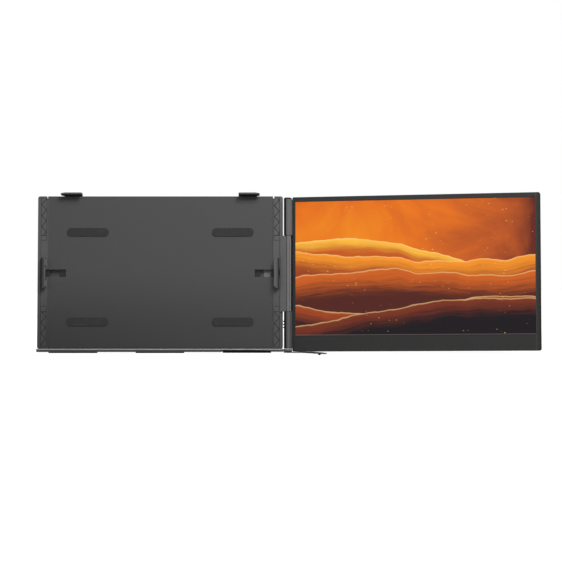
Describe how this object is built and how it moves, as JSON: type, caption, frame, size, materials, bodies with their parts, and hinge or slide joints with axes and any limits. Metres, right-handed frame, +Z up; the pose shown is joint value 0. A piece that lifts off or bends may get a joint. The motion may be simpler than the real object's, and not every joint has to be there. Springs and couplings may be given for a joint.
{
  "type": "clip-on portable monitor",
  "caption": "Slim portable screen on a barrel hinge, with a bracket frame whose clamps and clips hold a host lid, and a fold-out leg under the hinge.",
  "frame": {"origin": "on the floor, under the middle of the bracket frame's front face, on the underside of the foot strip", "axes": "+X to the right along the bracket towards the screen, +Y backward, +Z up"},
  "size_m": [0.7197, 0.1062, 0.2323],
  "materials": {
    "frame_grey": "satin, fine grain",
    "grip_grey": "matt, moulded zigzag grooves",
    "hinge_metal": "satin grey paint",
    "rail_metal": "satin grey paint",
    "steel": "brushed",
    "zinc_screw": "dark zinc",
    "rubber_black": "matt",
    "lining_grey": "matt",
    "arm_metal": "satin grey paint",
    "leg_metal": "dark satin paint, worn pale on top",
    "pad_rubber": "matt hard rubber",
    "black_steel": "blackened",
    "clip_black": "satin black",
    "clamp_grey": "satin",
    "gear_acetal": "dark acetal",
    "bezel_black": "fine matt",
    "shell_grey": "satin, fine grain",
    "screen_face": "anti-glare film over a lit picture",
    "acrylic": "clear sheet",
    "tray_metal": "stamped sheet",
    "board_green": "solder mask",
    "socket_metal": "nickel plated",
    "speaker_black": "matt",
    "button_black": "satin"
  },
  "bodies": {
    "frame": {"frame_front_cover": "frame_grey", "frame_back_cover": "frame_grey", "grip_panel_lower_left": "grip_grey", "grip_panel_upper_left": "grip_grey", "grip_panel_lower_right": "grip_grey", "grip_panel_upper_right": "grip_grey", "stiffener_lower": "steel", "stiffener_upper": "steel", "rack_keeper_plate": "black_steel", "pinion_axle": "steel", "keeper_screws": "zinc_screw", "frame_case_screws": "zinc_screw", "lid_rest_pads": "pad_rubber", "hinge_arm": "arm_metal", "hinge_arm_screws": "zinc_screw", "friction_washers": "black_steel", "foot_rail": "rail_metal", "foot_strips": "rubber_black", "leg_pivot_pin": "steel", "rail_screws": "zinc_screw"},
    "left_clamp": {"clamp_jaw_left": "clamp_grey", "clamp_lining_left": "lining_grey", "clamp_rack_left": "gear_acetal", "clamp_screws_left": "zinc_screw"},
    "right_clamp": {"clamp_jaw_right": "clamp_grey", "clamp_lining_right": "lining_grey", "clamp_rack_right": "gear_acetal", "clamp_screws_right": "zinc_screw"},
    "pinion": {"sync_pinion": "gear_acetal"},
    "left_clip": {"top_clip_left": "clip_black", "clip_lining_left": "rubber_black"},
    "right_clip": {"top_clip_right": "clip_black", "clip_lining_right": "rubber_black"},
    "leg": {"swing_leg": "leg_metal", "leg_pad": "rubber_black"},
    "screen": {"screen_rear_shell": "shell_grey", "front_bezel": "bezel_black", "display_panel": "screen_face", "light_guide": "acrylic", "backlight_tray": "tray_metal", "driver_board": "board_green", "port_board": "board_green", "speakers": "speaker_black", "usb_c_sockets": "socket_metal", "mini_hdmi_socket": "socket_metal", "hinge_barrel_lower": "hinge_metal", "hinge_barrel_upper": "hinge_metal", "barrel_caps": "hinge_metal", "hinge_pins": "steel", "hinge_leaf_screws": "zinc_screw", "screen_case_screws": "zinc_screw", "button_board": "board_green"},
    "minus_button": {"button_minus": "button_black"},
    "plus_button": {"button_plus": "button_black"},
    "power_button": {"button_power": "button_black"}
  },
  "joints": [
    {"name": "screen_hinge", "type": "hinge", "parent": "frame", "child": "screen", "pos_m": [0.1848, -0.00034, 0.06013], "axis": [0, 0.0593, 0.9982], "range_deg": [-168.7, 11.3]},
    {"name": "left_clamp_slide", "type": "slide", "parent": "frame", "child": "left_clamp", "axis": [-1, 0, 0], "range_m": [-0.03, 0.0013]},
    {"name": "right_clamp_slide", "type": "slide", "parent": "frame", "child": "right_clamp", "axis": [1, 0, 0], "range_m": [-0.03, 0.0013]},
    {"name": "pinion_spin", "type": "hinge", "parent": "frame", "child": "pinion", "pos_m": [0, 0.01104, 0.11505], "axis": [0, 0.9982, -0.0593], "range_deg": [-10, 216]},
    {"name": "left_clip_slide", "type": "slide", "parent": "frame", "child": "left_clip", "axis": [0, 0.0593, 0.9982], "range_m": [0, 0.015]},
    {"name": "right_clip_slide", "type": "slide", "parent": "frame", "child": "right_clip", "axis": [0, 0.0593, 0.9982], "range_m": [0, 0.015]},
    {"name": "leg_swing", "type": "hinge", "parent": "frame", "child": "leg", "pos_m": [0.1848, -0.00352, 0.001], "axis": [0, 0, 1], "range_deg": [-123.4, 0]},
    {"name": "minus_press", "type": "slide", "parent": "screen", "child": "minus_button", "axis": [0.9806, -0.1956, 0.0116], "range_m": [0, 0.0005], "stiffness_N_per_m": 600, "springref_m": -0.0004},
    {"name": "plus_press", "type": "slide", "parent": "screen", "child": "plus_button", "axis": [0.9806, -0.1956, 0.0116], "range_m": [0, 0.0005], "stiffness_N_per_m": 600, "springref_m": -0.0004},
    {"name": "power_press", "type": "slide", "parent": "screen", "child": "power_button", "axis": [0.9806, -0.1956, 0.0116], "range_m": [0, 0.0005], "stiffness_N_per_m": 600, "springref_m": -0.0004}
  ],
  "couplings": [
    {"joint": "right_clamp_slide", "follows": "left_clamp_slide", "ratio": 1},
    {"joint": "pinion_spin", "follows": "left_clamp_slide", "rad_per_m": -125}
  ]
}
